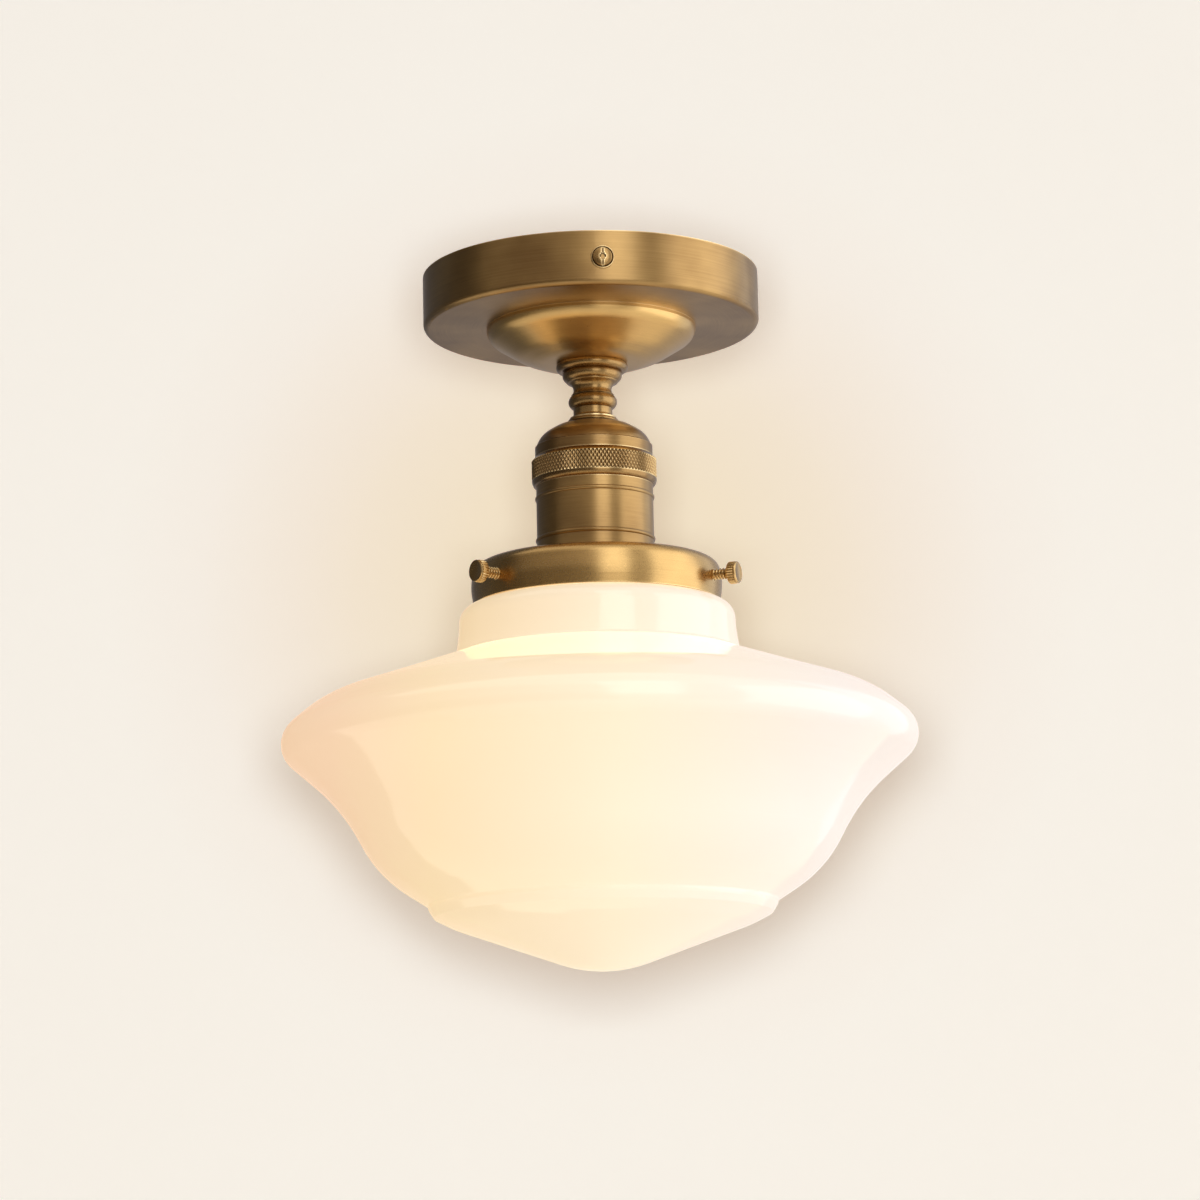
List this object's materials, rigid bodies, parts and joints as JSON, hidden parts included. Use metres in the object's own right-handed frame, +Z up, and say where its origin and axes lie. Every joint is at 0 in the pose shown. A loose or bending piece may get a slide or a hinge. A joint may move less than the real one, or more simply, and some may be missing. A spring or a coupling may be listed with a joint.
{
  "type": "semi flush ceiling light",
  "caption": "Ceiling light with round canopy, dome cup, turned spindle, knurled lampholder, gallery with thumbscrews and a stepped opal glass shade.",
  "frame": {"origin": "on the ceiling plane, at the lamp's axis, midway between the bracket's two slots", "axes": "+Z up into the ceiling along the lamp's axis, -Y towards the front canopy screw, +X to the right seen from the front"},
  "size_m": [0.2229, 0.223, 0.2487],
  "materials": {
    "brass": "aged satin brass, brushed and lacquered",
    "bright_brass": "turned brass, satin",
    "zinc_steel": "zinc plated, matt",
    "opal_glass": "blown opal glass, glossy",
    "lamp_glass": "frosted lamp glass",
    "porcelain": "glazed porcelain",
    "lamp_cap_metal": "drawn aluminium",
    "solder": "solder, dull",
    "black_glass": "black vitreous insulator",
    "block_plastic": "moulded polyamide",
    "lead_brown": "extruded silicone sleeve",
    "lead_blue": "extruded silicone sleeve",
    "lead_green": "extruded silicone sleeve, green with yellow"
  },
  "bodies": {
    "fixture": {"mounting_bracket": "zinc_steel", "canopy": "brass", "canopy_side_screws": "bright_brass", "dome_cup": "brass", "check_ring": "bright_brass", "spindle": "bright_brass", "nipple": "zinc_steel", "nipple_nuts": "zinc_steel", "lock_washer": "zinc_steel", "socket_cap": "brass", "knurled_ring": "bright_brass", "socket_shell": "brass", "lampholder_insert": "porcelain", "lamp_contact_shell": "bright_brass", "centre_contact": "bright_brass", "lampholder_screws": "zinc_steel", "gallery": "brass", "shade_ring": "bright_brass", "terminal_block": "block_plastic", "terminal_block_screws": "zinc_steel", "block_fixing_screw": "zinc_steel", "earth_screw": "zinc_steel", "lead_live": "lead_brown", "lead_neutral": "lead_blue", "lead_earth": "lead_green"},
    "shade": {"shade": "opal_glass"},
    "bulb": {"bulb_contact": "solder", "bulb_insulator": "black_glass", "bulb_cap": "lamp_cap_metal", "bulb_glass": "lamp_glass"},
    "thumbscrew_1": {"thumbscrew_1": "bright_brass"},
    "thumbscrew_2": {"thumbscrew_2": "bright_brass"},
    "thumbscrew_3": {"thumbscrew_3": "bright_brass"}
  },
  "joints": [
    {"name": "shade_drop", "type": "slide", "parent": "fixture", "child": "shade", "axis": [0, 0, -1], "range_m": [0, 0.014]},
    {"name": "bulb_out", "type": "slide", "parent": "fixture", "child": "bulb", "axis": [0, 0, -1], "range_m": [0, 0.024]},
    {"name": "thumbscrew_1_out", "type": "slide", "parent": "fixture", "child": "thumbscrew_1", "axis": [-0.829, -0.5592, 0], "range_m": [0, 0.00364]},
    {"name": "thumbscrew_2_out", "type": "slide", "parent": "fixture", "child": "thumbscrew_2", "axis": [0.8988, -0.4384, 0], "range_m": [0, 0.00364]},
    {"name": "thumbscrew_3_out", "type": "slide", "parent": "fixture", "child": "thumbscrew_3", "axis": [-0.0698, 0.9976, 0], "range_m": [0, 0.00364]}
  ],
  "couplings": [
    {"joint": "thumbscrew_1_out", "follows": "shade_drop", "ratio": 0.26},
    {"joint": "thumbscrew_2_out", "follows": "shade_drop", "ratio": 0.26},
    {"joint": "thumbscrew_3_out", "follows": "shade_drop", "ratio": 0.26}
  ]
}
